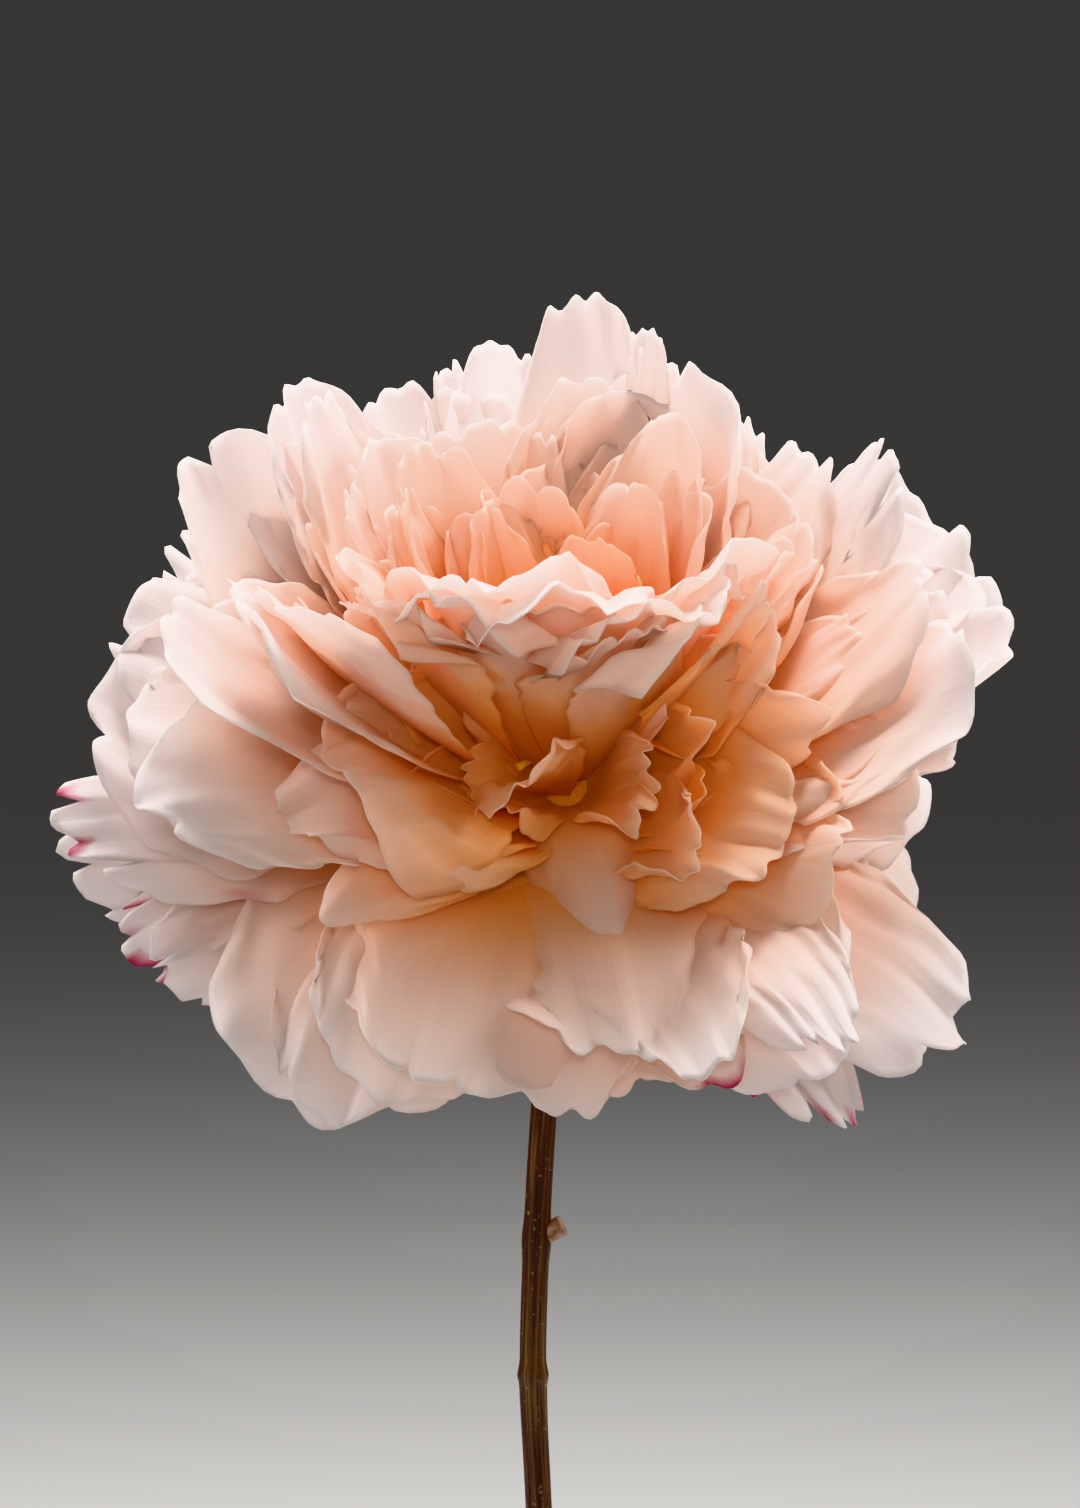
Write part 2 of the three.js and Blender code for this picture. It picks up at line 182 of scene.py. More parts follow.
EXTRA_PETALS = [
    ("top_tuft", -176, 52, 90, 26, "round", {}),
    ("top_spikes", -162, 52, 92, 28, "fringed", {}),
    ("top_left", -145, 54, 86, 36, "round", {}),
    ("left_behind", -122, 68, 92, 36, "fringed", {}),
    ("left_spike", -106, 75, 88, 26, "pointed", {}),
    ("wall_back", 154, 46, 84, 44, "lobed", {}),
    ("spike_inner", 153, 54, 80, 22, "pointed", {}),
    ("spike_outer", 145, 48, 80, 22, "pointed", {}),
    ("right_spikes", 122, 55, 88, 38, "fringed", {}),
    ("right_round", 126, 63, 90, 34, "round", {}),
    ("right_point", 112, 72, 90, 40, "fringed", {}),
    ("right_streak", 95, 58, 76, 40, "lobed", {}),
    ("right_small", 93, 104, 54, 26, "pointed", {}),
    ("guard_behind", 65, 116, 78, 32, "fringed", {}),
    ("guard_streak", 36, 98, 82, 30, "fringed", {}),
    ("guard_narrow", 18, 101, 76, 32, "round", {}),
    ("guard_magenta", -10, 112, 60, 36, "fringed", {"fleck": 1}),
    ("guard_low_left", -31, 103, 72, 42, "round", {"sag": 6}),
    ("fork_low", -74, 98, 84, 30, "fringed", {"fleck": 1}),
    ("fork_tip", -83, 90, 93, 36, "fringed", {"fleck": 1}),
    ("left_edge", -85, 72, 79, 40, "round", {}),
    ("left_top", -83, 50, 72, 40, "round", {}),
    ("cup_tuft_a", -102, 29, 68, 20, "fringed", {}),
    ("cup_tuft_b", -99, 18, 63, 16, "pointed", {}),
    # pale on the rim and wall petals is painted light: it makes them paler, as if more brightly lit.
    ("cup_rim_mid", -8, 8, 56, 44, "lobed", {"curl": 10, "pale": 7}),
    ("cup_rim_right", 20, 20, 58, 36, "fringed", {"curl": 8, "pale": 7}),
    ("cup_strap", 60, 30, 62, 24, "pointed", {}),
    ("cup_side_right", 126, 38, 66, 40, "lobed", {}),
    ("cup_far_back", -172, 38, 72, 34, "round", {}),
    ("wall_a", -60, 24, 60, 38, "lobed", {"curl": 8, "pale": 7}),
    ("wall_b", -40, 18, 66, 46, "lobed", {"curl": 14, "pale": 7}),
    ("wall_c", 2, 13, 68, 48, "lobed", {"curl": 16, "pale": 7}),
    ("wall_d", 24, 18, 64, 38, "lobed", {"curl": 11, "pale": 7}),
    ("wall_e", 44, 22, 64, 42, "lobed", {"curl": 10, "pale": 7}),
    ("wall_low_a", -50, 24, 47, 30, "lobed", {"cup": 3, "curl": -4}),
    ("wall_low_e", 34, 22, 46, 30, "lobed", {"cup": 3, "curl": -4}),
    ("skirt_a", -38, 82, 58, 44, "lobed", {"sag": 26, "cup": -3}),
    ("skirt_b", -22, 92, 56, 42, "round", {"sag": 24, "cup": -3}),
    ("skirt_c", 16, 92, 58, 42, "lobed", {"sag": 24, "cup": -3}),
    ("skirt_d", 0, 96, 62, 40, "lobed", {"sag": 18}),
    ("heart_a", -178, 22, 58, 36, "round", {}),
    ("heart_c", -158, 16, 55, 34, "lobed", {}),
    ("heart_d", 148, 14, 55, 34, "lobed", {}),
    ("heart_e", -135, 12, 51, 24, "lobed", {}),
    ("heart_f", 154, 0, 44, 30, "lobed", {}),
    ("back_fill_a", -160, 64, 88, 48, "lobed", {}),
    ("back_fill_b", 158, 64, 88, 48, "round", {}),
    ("back_fill_c", -112, 110, 72, 46, "round", {}),
    ("back_fill_d", 104, 114, 72, 46, "lobed", {}),
    ("back_fill_e", 180, 104, 82, 50, "lobed", {}),
    ("right_fill_a", 104, 90, 60, 44, "lobed", {}),
    ("right_fill_b", 122, 86, 78, 46, "round", {}),
    ("right_fill_c", 138, 80, 80, 44, "lobed", {}),
    ("left_fill_a", -106, 92, 64, 44, "lobed", {}),
    ("left_fill_b", -134, 85, 80, 46, "round", {}),
]


def as_petal(row):
    """The row as a dictionary, with its options beside its sizes."""
    name, azimuth, lean, length, width, tip, options = row
    base = {"name": name, "azimuth": azimuth, "lean": lean, "length": length, "width": width, "tip": tip}
    return {**base, **options}


def rosette(rng):
    """Petals round an axis that faces the front: 0 points down, 90 right and -90 left."""
    # Ring, azimuths, lean, length, width, wild, pale; pale is painted light that makes the ring paler, as if
    # more brightly lit, most of all the ribbons, which the cup shades.
    rings = [
        ("ribbon", (-140, -112, -84, -40, 46, 84, 118, 150), 38, 30, 17, 2.2, 12),
        ("fold", (-128, -96, -64, -36, 42, 66, 94, 126), 54, 40, 28, 1.5, 4),
        ("fan", (-122, -98, -74, -50, 48, 72, 98, 122), 66, 52, 34, 1.2, 0),
    ]
    made = []
    for ring, turns, lean, length, width, wild, pale in rings:
        for k, turn in enumerate(turns):
            made.append({
                "name": f"{ring}_{k + 1}",
                "azimuth": turn + rng.uniform(-6, 6),
                "lean": lean + rng.uniform(-5, 5),
                "length": length * rng.uniform(0.88, 1.1),
                "width": width * rng.uniform(0.85, 1.15),
                "tip": ("round", "lobed", "pointed")[rng.randint(3)],
                "wild": wild,
                "tilt": FACE_TILT,
                "start": 0.55 * lean + 6,
                "roll": rng.uniform(-0.12, 0.12) * width,
                # Painted light: the ring's pale makes its petals paler, as if more brightly lit.
                "pale": pale,
            })
    return made


def companions(petal, count, rng):
    """Smaller petals beside a petal, turned by up to 18 degrees either way."""
    made = []
    for k in range(count):
        made.append({
            "name": f"{petal['name']}_{k + 1}",
            "azimuth": petal["azimuth"] + rng.uniform(-18, 18),
            "lean": petal["lean"] + rng.uniform(-6, 3),
            "length": petal["length"] * rng.uniform(0.70, 0.96),
            "width": petal["width"] * rng.uniform(0.6, 0.95),
            "tip": ("round", "lobed", "lobed", "fringed")[rng.randint(4)],
        })
    return made


# ---- Numbers and noise ----


def smooth(x, a, b):
    """0 below a, 1 above b, and a smooth S between."""
    t = np.clip((x - a) / (b - a), 0, 1)
    return t * t * (3 - 2 * t)


def waves(rng, count, low, high):
    """Random directions, frequencies and phases for a sum of sine waves."""
    turn = rng.uniform(0, 2 * math.pi, count)
    beat = rng.uniform(low, high, count)
    return np.stack([beat * np.cos(turn), beat * np.sin(turn), rng.uniform(0, 2 * math.pi, count)])


def noise(spec, x, y):
    """Sum of the sine waves at x, y, scaled to about -1 to 1."""
    total = 0
    for k in range(spec.shape[1]):
        total = total + np.sin(spec[0, k] * x + spec[1, k] * y + spec[2, k])
    return total / math.sqrt(spec.shape[1] * 1.6)


def seed_of(name):
    """A number that depends on the name alone."""
    return sum(ord(c) * (i + 3) for i, c in enumerate(name)) % 100003


def catmull_rom(points, steps):
    """A smooth curve through the points, with knots at the square root of their distances."""
    p = np.array(points, float)
    p = np.vstack([2 * p[0] - p[1], p, 2 * p[-1] - p[-2]])
    pieces = []
    for k in range(1, len(p) - 2):
        a, b, c, d = p[k - 1:k + 3]
        gaps = [max(np.linalg.norm(q - r) ** 0.5, 1e-6) for q, r in ((b, a), (c, b), (d, c))]
        t = np.cumsum([0] + gaps)
        x = np.linspace(t[1], t[2], steps, endpoint=False)[:, None]
        ab = (t[1] - x) / (t[1] - t[0]) * a + (x - t[0]) / (t[1] - t[0]) * b
        bc = (t[2] - x) / (t[2] - t[1]) * b + (x - t[1]) / (t[2] - t[1]) * c
        cd = (t[3] - x) / (t[3] - t[2]) * c + (x - t[2]) / (t[3] - t[2]) * d
        abc = (t[2] - x) / (t[2] - t[0]) * ab + (x - t[0]) / (t[2] - t[0]) * bc
        bcd = (t[3] - x) / (t[3] - t[1]) * bc + (x - t[1]) / (t[3] - t[1]) * cd
        pieces.append((t[2] - x) / (t[2] - t[1]) * abc + (x - t[1]) / (t[2] - t[1]) * bcd)
    return np.vstack(pieces + [p[-2][None]])


def nod(local, tilt=TILT):
    """Points of the bloom's own frame, turned by a tilt towards the front."""
    c, s = math.cos(tilt), math.sin(tilt)
    y = local[..., 1] * c - local[..., 2] * s
    z = local[..., 1] * s + local[..., 2] * c
    return np.stack([local[..., 0], y, z], -1)


# ---- Petals ----

# Tip: how far its corners fall back, the power of that fall, its number of notches, their least and
# greatest depth, and their width. Falls and depths are shares of the length, widths of half the width.
TIPS = {
    "smooth": (0.12, 3.0, 0, 0, 0, 1),
    "round": (0.20, 2.6, 2, 0.01, 0.05, 0.09),
    "lobed": (0.20, 2.4, 4, 0.00, 0.065, 0.07),
    "fringed": (0.22, 2.0, 6, 0.02, 0.12, 0.05),
    "pointed": (0.42, 1.5, 2, 0.01, 0.05, 0.06),
    "sepal": (0.45, 1.6, 0, 0, 0, 1),
}


def tip_cut(tip, u, rng):
    """How far the tip is cut back at u: the fall times |u| to its power, plus a bell for each notch."""
    fall, power, count, deep_low, deep_high, width = TIPS[tip]
    places = (np.arange(count) + rng.uniform(0.1, 0.9, count)) / max(count, 1) * 1.9 - 0.95
    notches = [(at, rng.uniform(deep_low, deep_high), width * rng.uniform(0.5, 1.5)) for at in places]
    cut = fall * np.abs(u) ** power
    for at, deep, wide in notches:
        cut = cut + deep * np.exp(-np.abs((u - at) / wide) ** 1.3)
    return cut


def teeth(name, u):
    """Small uneven teeth along the tip, as a share of the length: a sum of five short waves."""
    uneven = waves(np.random.RandomState(seed_of(name) + 2), 5, 9, 24)
    return TOOTH * noise(uneven, u, 0)


def width_across(petal, u, v, rng):
    """Distance from the petal's middle line.

    The half width rises from the claw as a sine to its widest and narrows at the tip, and its edge
    wavers by about a twelfth.
    """
    widest = petal["width"] / 2
    claw = CLAW_HALF_WIDTH / widest
    rise = claw + (1 - claw) * np.sin(math.pi / 2 * np.clip(v / WIDEST_AT, 0, 1)) ** 1.2
    half = widest * 1.08 * rise * (1 - 0.24 * smooth(v, 0.75, 1.05) ** 1.2)
    side = waves(rng, 3, 3, 9)
    return u * half * (1 + 0.08 * noise(side, 6 * v, 2 * u) * smooth(v, 0.3, 0.8))


def lean_along(petal, v, distance, rng):
    """Lean in degrees at each v.

    A power of the distance takes it from the claw's lean to the petal's own, and a sag and a curl bend
    the petal and its tip down in smooth steps of v.
    """
    start = petal.get("start", OPEN_LEAN + SPREAD_SHARE * petal["lean"])
    reach = np.maximum((distance - CORE) / (REACH - CORE), 0)
    lean = start + (petal["lean"] - start) * reach ** LEAN_POWER
    lean = lean + petal.get("sag", 0) * smooth(v, 0.15, 1.1) * 1.1
    return lean + petal.get("curl", rng.uniform(-2, 5)) * smooth(v, 0.7, 1.08) ** 1.5


def lift_off(petal, u, v, rng):
    """Height over the plain petal.

    It adds large waves, ruffles towards the edge, a cup that goes with u squared, a roll that goes
    with u times v, lengthwise creases where a noise crosses zero, and crinkles at the tip.
    """
    width = petal["width"]
    wild = petal.get("wild", 1)
    big = waves(rng, 3, 0.8, 2.0)
    fine = waves(rng, 5, 2.5, 5.5)
    edge = smooth(np.abs(u), 0.2, 1.0) * 0.75 + 0.25
    lift = wild * SWELL * width * noise(big, 1.6 * u, 2.2 * v) * v ** 1.1
    ruffle = wild * RUFFLE * width * noise(fine, 1.7 * u, 1.9 * v)
    lift = lift + ruffle * v ** 1.8 * np.maximum(edge, smooth(v, 0.7, 1.0))
    cup = petal.get("cup", rng.uniform(0.02, 0.14) * width)
    lift = lift + cup * (u ** 2 - 0.4) * smooth(v, 0.1, 0.9)
    facing = SIDE_ROLL * math.sin(math.radians(petal["azimuth"])) * smooth(petal["lean"], 45, 75)
    roll = petal.get("roll", (facing + rng.uniform(-0.09, 0.09)) * width)
    lift = lift + roll * u * v
    crease = waves(rng, 4, 5, 9)
    fold = 1 - np.abs(noise(crease, 1.5 * u, 0.5 * v))
    lift = lift + wild * CREASE * width * fold * smooth(v, 0.25, 0.9)
    tiny = waves(rng, 6, 8, 17)
    crinkle = CRINKLE * noise(tiny, 1.3 * u, 1.2 * v)
    return lift + crinkle * v ** 3 * np.maximum(edge, smooth(v, 0.8, 1.0))


def petal_points(petal, grid):
    """Middle surface of a petal: u runs across from -1 to 1, and v from the claw to the tip.

    A point lies at a distance from the heart, which is v times the length less the tip's cut, at the
    petal's lean less the lift over the distance, and turned round the bloom's axis by the width across
    over the ring's radius, held below the most wrap by a hyperbolic tangent.
    """
    rng = np.random.RandomState(seed_of(petal["name"]))
    columns, rows = grid
    u = np.linspace(-1, 1, columns + 1)[None, :]
    v = np.linspace(0, 1, rows + 1)[:, None]
    across = width_across(petal, u, v, rng)
    cut = tip_cut(petal["tip"], u, rng) + teeth(petal["name"], u)
    distance = CORE + petal["length"] * (v - cut * smooth(v, 0.35, 1.0))
    lean = lean_along(petal, v, distance, rng)
    bent = np.radians(lean) - lift_off(petal, u, v, rng) / distance
    ring = distance * np.maximum(np.sin(np.radians(lean)), LEAST_RING)
    turn = np.radians(petal["azimuth"]) + MOST_WRAP * np.tanh(across / ring / MOST_WRAP)
    way = [np.sin(bent) * np.sin(turn), -np.sin(bent) * np.cos(turn), np.cos(bent) * np.ones_like(turn)]
    return nod(np.stack(way, -1) * distance[..., None], petal.get("tilt", TILT)) + HEART


# ---- Meshes ----


def mesh_from_grid(name, points, weld=False):
    """A smooth mesh from rows of points, with a UV map of column and row shares.

    weld joins the first and last column and the rows that have shrunk to a pole.
    """
    rows, columns = points.shape[0] - 1, points.shape[1] - 1
    index = np.arange((rows + 1) * (columns + 1)).reshape(rows + 1, columns + 1)
    faces = np.stack([index[:-1, :-1], index[:-1, 1:], index[1:, 1:], index[1:, :-1]], -1).reshape(-1, 4)
    mesh = bpy.data.meshes.new(name)
    mesh.from_pydata((points.reshape(-1, 3) * MM).tolist(), [], faces.tolist())
    layer = mesh.uv_layers.new(name="surface")
    u, v = np.meshgrid(np.linspace(0, 1, columns + 1), np.linspace(0, 1, rows + 1))
    spots = np.stack([u, v], -1).reshape(-1, 2)
    layer.data.foreach_set("uv", spots[faces.reshape(-1)].ravel())
    if weld:
        close_up(mesh)
    mesh.shade_smooth()
    piece = bpy.data.objects.new(name, mesh)
    bpy.context.collection.objects.link(piece)
    return piece


def close_up(mesh):
    """Merge doubled points and turn the faces outwards."""
    work = bmesh.new()
    work.from_mesh(mesh)
    bmesh.ops.remove_doubles(work, verts=work.verts, dist=1e-6)
    bmesh.ops.recalc_face_normals(work, faces=work.faces)
    work.to_mesh(mesh)
    work.free()


def thicken(piece, thickness):
    """Give a surface a wall, half of it on each side."""
    wall = piece.modifiers.new("wall", "SOLIDIFY")
    wall.thickness = thickness * MM
    wall.offset = 0


def settle(piece, material, slot, *nodes):
    """Give a piece its material and body, and hide the CAD nodes that it stands for; slot is not used."""
    piece.data.materials.append(material)
    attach(piece, "root")
    if nodes:
        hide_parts(*nodes)


def paint(piece, petal):
    """Two point attributes, which the petals' material reads.

    fleck is 1 in the crimson streaks along a marked petal's edge. pale is how many millimetres the petal's
    colours are shifted towards the heart: up to 4 of them either way at random as a change of tone, plus the
    petal's pale option, which is painted light that makes it paler as if more brightly lit.
    petal's colours are shifted towards the heart, up to 4 of them either way at random.
    """
    rng = np.random.RandomState(seed_of(petal["name"]) + 1)
    columns, rows = PETAL_GRID
    u, v = np.meshgrid(np.linspace(-1, 1, columns + 1), np.linspace(0, 1, rows + 1))
    spots = noise(waves(rng, 5, 4, 9), 2.5 * u, 2.0 * v)
    rim = np.maximum(smooth(np.abs(u), 0.88, 1.0) * smooth(v, 0.55, 0.7), smooth(v, 0.95, 1.0))
    fleck = petal.get("fleck", 0) * rim * smooth(spots, 0.25, 0.7)
    # pale is a random change of tone plus the painted light of the pale option.
    pale = np.full(fleck.size, rng.uniform(-4, 4) + petal.get("pale", 0))
    for name, values in (("fleck", fleck.ravel()), ("pale", pale)):
        layer = piece.data.attributes.new(name, "FLOAT", "POINT")
        layer.data.foreach_set("value", values.astype(np.float32))


# ---- Stem, carpels and stamens ----


def stem_line():
    """The stem's centre line, from the vase's floor to the receptacle."""
    neck_foot = VASE_HEIGHT - 0.75 * NECK_LENGTH
    bow = [(10, -0.4), (35, -1.4), (67, -0.4), (94, 1.2), (120, 2.9)]
    forward = 1 / 60
    points = [
        (1, 9, VASE_FLOOR + TOUCH_GAP + STEM_RADIUS / 2),
        (STEM_LIP_X * 0.6, 4.5, neck_foot / 2),
        (STEM_LIP_X * 0.92, 1.2, neck_foot),
        (STEM_LIP_X, 0, VASE_HEIGHT),
        *[(STEM_LIP_X + x, -rise * forward, VASE_HEIGHT + rise) for rise, x in bow],
        HEART - BLOOM_AXIS * (CORE + 6),
        HEART - BLOOM_AXIS * (CORE / 2),
    ]
    return catmull_rom(points, 26)


def sweep(line, radius_at, sides):
    """Rings along a line, closed at both ends: the radius depends on the height and the angle round it."""
    ahead = np.gradient(line, axis=0)
    ahead /= np.linalg.norm(ahead, axis=1)[:, None]
    right = np.cross(np.array([0.0, 1.0, 0.0]), ahead)
    right /= np.linalg.norm(right, axis=1)[:, None]
    out = np.cross(ahead, right)
    angle = np.linspace(0, 2 * math.pi, sides + 1)[None, :]
    radius = radius_at(line[:, 2:3], angle)
    side = right[:, None, :] * (radius * np.cos(angle))[..., None]
    deep = out[:, None, :] * (radius * np.sin(angle))[..., None]
    rings = line[:, None, :] + side + deep
    first = np.repeat(line[:1, None, :], sides + 1, 1)
    last = np.repeat(line[-1:, None, :], sides + 1, 1)
    return np.concatenate([first, rings, last])


def stem_radius(z, angle):
    """Five soft ridges, a ring where a leaf once sat, and a flare under the bloom.

    The ridges are a cosine of the angle, the ring and the swelling at the leaf stalk are bells of
    the height, and the stem is a little thicker below the ring.
    """
    ridges = 1 + 0.055 * np.cos(5 * angle + 0.01 * z) + 0.02 * np.cos(11 * angle - 0.02 * z)
    node_z = VASE_HEIGHT + NODE_RISE
    step = np.where(z < node_z, 0.16, 0.0) * smooth(z, node_z - 16, node_z - 1)
    ring = 0.42 * np.exp(-((z - node_z + 0.5) / 1.6) ** 2) + step
    swell = 0.35 * np.exp(-((z - VASE_HEIGHT - STUB_RISE) / 3.5) ** 2)
    flare = 4.2 * smooth(z, HEART[2] - 22, HEART[2] - 7) ** 2
    return (STEM_RADIUS - 0.1) * ridges + ring + swell + flare


def stub_points():
    """The cut leaf stalk: a post on the stem's right, with a flat cut face.

    Its radius falls with the length and widens again at the cut, and its section is a little oval.
    """
    line = stem_line()
    root = line[np.argmin(np.abs(line[:, 2] - VASE_HEIGHT - STUB_RISE))]
    way = np.array([math.cos(STUB_LEAN), -0.15, math.sin(STUB_LEAN)])
    way /= np.linalg.norm(way)
    share = np.linspace(0, 1, 9)[:, None]
    axis = root + way * (1.0 + share * STUB_LENGTH)

    def radius(z, angle):
        return (STUB_RADIUS - 0.35 * share + 0.25 * share ** 6) * (1 + 0.12 * np.cos(2 * angle))

    return sweep(axis, radius, 20)


def ball_points(centre, radius, rows=20, columns=32):
    """A sphere as rings of latitude, poles included."""
    low = np.linspace(-math.pi / 2, math.pi / 2, rows + 1)[:, None]
    turn = np.linspace(0, 2 * math.pi, columns + 1)[None, :]
    shape = [np.cos(low) * np.cos(turn), np.cos(low) * np.sin(turn), np.sin(low) * np.ones_like(turn)]
    return np.stack(shape, -1) * radius + centre


def flask_points(turn):
    """A carpel: a flask, widest low down, with a short stigma on top.

    Its radius is a sine of the height up to the throat and a smaller one above, three soft ribs
    are a cosine of the angle, and the whole leans out with the cube of the height.
    """
    throat = 0.72
    height = np.linspace(0, 1, 25)[:, None]
    profile = np.sin(np.clip(height / throat, 0, 1) * math.pi * 0.86) ** 0.7 * (height < throat)
    stigma = 0.34 + 0.25 * np.sin((height - throat) / (1 - throat) * math.pi)
    profile = profile + (height >= throat) * stigma
    profile[0] = 0
    profile[-1] = 0
    angle = np.linspace(0, 2 * math.pi, 19)[None, :]
    lean = 0.8 * height ** 3
    radius = CARPEL_RADIUS * profile * (1 + 0.05 * np.cos(3 * angle))
    x = CARPEL_OFFSET + lean + radius * np.cos(angle)
    y = radius * np.sin(angle)
    z = CORE + height * CARPEL_HEIGHT + 0 * angle
    turned_x = x * math.cos(turn) - y * math.sin(turn)
    turned_y = x * math.sin(turn) + y * math.cos(turn)
    return nod(np.stack([turned_x, turned_y, z], -1)) + HEART


def stamen_points(turn, lean, length):
    """A thin filament from the receptacle that bows outwards, with a thicker anther on its last fifth."""
    share = np.linspace(0, 1, 12)
    angle = np.radians(lean) + 0.25 * share ** 2
    distance = CORE - 0.5 + share * length
    way = np.stack([np.sin(angle) * math.sin(turn), -np.sin(angle) * math.cos(turn), np.cos(angle)], -1)
    line = nod(way * distance[:, None]) + HEART
    thick = np.where(share > 0.8, 0.75, 0.28)[:, None]
    return sweep(line, lambda z, angle: thick * (1 + 0.1 * np.cos(2 * angle)), 8)


# ---- Vase ----


def vase_points():
    """The vase's outline, up the outside and down the inside, turned round the Z axis."""
    neck = NECK_BORE + VASE_WALL
    neck_start = VASE_HEIGHT - NECK_LENGTH
    outside = catmull_rom([
        (FOOT_RADIUS, FOOT_BEVEL),
        (BELLY_RADIUS, BELLY_HEIGHT),
        ((BELLY_RADIUS + neck) / 2, SHOULDER_HEIGHT - TOUCH_GAP),
        (neck, neck_start + NECK_LENGTH / 4),
        (neck, VASE_HEIGHT - NECK_LENGTH / 4),
        (neck + LIP_FLARE, VASE_HEIGHT - LIP_ROUND),
    ], 16)
    keep = (outside[:, 1] > VASE_FLOOR + VASE_WALL) & (outside[:, 1] < VASE_HEIGHT - 2)
    inside = outside[keep][::-1].copy()
    inside[:, 0] = np.maximum(inside[:, 0] - VASE_WALL, NECK_BORE)
    turn = np.linspace(-0.35, math.pi - 0.3, 8)
    middle = neck + LIP_FLARE / 2 - LIP_ROUND
    lip = np.stack([middle + 2.6 * np.cos(turn), VASE_HEIGHT - 1.5 + 1.5 * np.sin(turn)], -1)
    bevel = np.array([(FOOT_RADIUS - FOOT_BEVEL, 0), (FOOT_RADIUS - 0.45, 0.4), (FOOT_RADIUS - 0.1, 0.95)])
    base = np.array([(0, 0), (FOOT_RADIUS * 0.5, 0), (FOOT_RADIUS - 3.2, 0)])
    floor = np.array([(FOOT_RADIUS - 2 * VASE_WALL, VASE_FLOOR), (0, VASE_FLOOR)])
    outline = np.vstack([base, bevel, outside, lip, inside, floor])
    angle = np.linspace(0, 2 * math.pi, VASE_SIDES + 1)[None, :]
    r, z = outline[:, :1], outline[:, 1:]
    return np.stack([r * np.cos(angle), r * np.sin(angle), z + 0 * angle], -1)


# ---- Shader nodes ----


def start_material(name):
    """A new material with its node tree and its Principled BSDF."""
    material = bpy.data.materials.new(name)
    material.use_nodes = True
    tree = material.node_tree
    return material, tree, tree.nodes["Principled BSDF"]


def put(tree, socket, value):
    """Link a value that is a socket itself to this socket, or set a constant here."""
    if isinstance(value, bpy.types.NodeSocket):
        tree.links.new(value, socket)
    else:
        socket.default_value = value


def object_place(tree):
    """Place on the piece, in metres."""
    return tree.nodes.new("ShaderNodeTexCoord").outputs["Object"]


def own_map(tree):
    """Place on the piece's own map, as X across and Y along."""
    spot = tree.nodes.new("ShaderNodeUVMap")
    spot.uv_map = "surface"
    apart = tree.nodes.new("ShaderNodeSeparateXYZ")
    tree.links.new(spot.outputs["UV"], apart.inputs[0])
    return apart.outputs["X"], apart.outputs["Y"]


def attribute(tree, name):
    """A point attribute's value."""
    node = tree.nodes.new("ShaderNodeAttribute")
    node.attribute_name = name
    return node.outputs["Fac"]


def reckon(tree, operation, *values):
    """A Math node; each value is a socket or a constant."""
    node = tree.nodes.new("ShaderNodeMath")
    node.operation = operation
    for slot, value in enumerate(values):
        put(tree, node.inputs[slot], value)
    return node.outputs[0]


def span(tree, value, low, high, to_low=0.0, to_high=1.0):
    """The value's place between low and high, carried over to the range from to_low to to_high."""
    node = tree.nodes.new("ShaderNodeMapRange")
    node.inputs["From Min"].default_value = low
    node.inputs["From Max"].default_value = high
    node.inputs["To Min"].default_value = to_low
    node.inputs["To Max"].default_value = to_high
    tree.links.new(value, node.inputs["Value"])
    return node.outputs["Result"]


def colour_ramp(tree, share, stops):
    """Colours at their places along the share from 0 to 1, blended between."""
    ramp = tree.nodes.new("ShaderNodeValToRGB")
    ends = ramp.color_ramp.elements
    ends[0].position, ends[0].color = stops[0][0], (*stops[0][1], 1)
    ends[1].position, ends[1].color = stops[-1][0], (*stops[-1][1], 1)
    for at, colour in stops[1:-1]:
        ends.new(at).color = (*colour, 1)
    tree.links.new(share, ramp.inputs["Fac"])
    return ramp.outputs["Color"]


def mix_colour(tree, share, first, second, blend="MIX"):
    """A colour mix; each of its three inputs is a socket or a constant."""
    node = tree.nodes.new("ShaderNodeMix")
    node.data_type = "RGBA"
    node.blend_type = blend
    for slot, value in ((0, share), (6, first), (7, second)):
        put(tree, node.inputs[slot], value)
    return node.outputs[2]


def speckle(tree, place, scale, detail=4.0):
    """Cloudy noise, finer with a greater scale."""
    node = tree.nodes.new("ShaderNodeTexNoise")
    node.inputs["Scale"].default_value = scale
    node.inputs["Detail"].default_value = detail
    tree.links.new(place, node.inputs["Vector"])
    return node.outputs["Fac"]


def add_bump(tree, height, strength, distance, shader):
    """Bump from a height; the distance is in metres."""
    bump = tree.nodes.new("ShaderNodeBump")
    bump.inputs["Strength"].default_value = strength
    bump.inputs["Distance"].default_value = distance
    tree.links.new(height, bump.inputs["Height"])
    tree.links.new(bump.outputs["Normal"], shader.inputs["Normal"])


def vein_group():
    """Fine lengthwise streaks from the piece's own map: a height for bump and a mask for colour."""
    group = bpy.data.node_groups.new("lengthwise_veins", "ShaderNodeTree")
    face = group.interface
    face.new_socket("Lines", in_out="INPUT", socket_type="NodeSocketFloat").default_value = 40
    face.new_socket("Wander", in_out="INPUT", socket_type="NodeSocketFloat").default_value = 2.5
    face.new_socket("Height", in_out="OUTPUT", socket_type="NodeSocketFloat")
    face.new_socket("Mask", in_out="OUTPUT", socket_type="NodeSocketFloat")
    new, link = group.nodes.new, group.links.new
    start, end = new("NodeGroupInput"), new("NodeGroupOutput")
    across, along = own_map(group)
    stretched = new("ShaderNodeCombineXYZ")
    link(reckon(group, "MULTIPLY", across, start.outputs["Lines"]), stretched.inputs["X"])
    link(reckon(group, "MULTIPLY", along, start.outputs["Wander"]), stretched.inputs["Y"])
    streaks = new("ShaderNodeTexNoise")
    streaks.inputs["Scale"].default_value = 1.0
    streaks.inputs["Detail"].default_value = 3.0
    streaks.inputs["Roughness"].default_value = 0.6
    link(stretched.outputs[0], streaks.inputs["Vector"])
    link(streaks.outputs["Fac"], end.inputs["Height"])
    link(span(group, streaks.outputs["Fac"], 0.38, 0.68), end.inputs["Mask"])
    return group


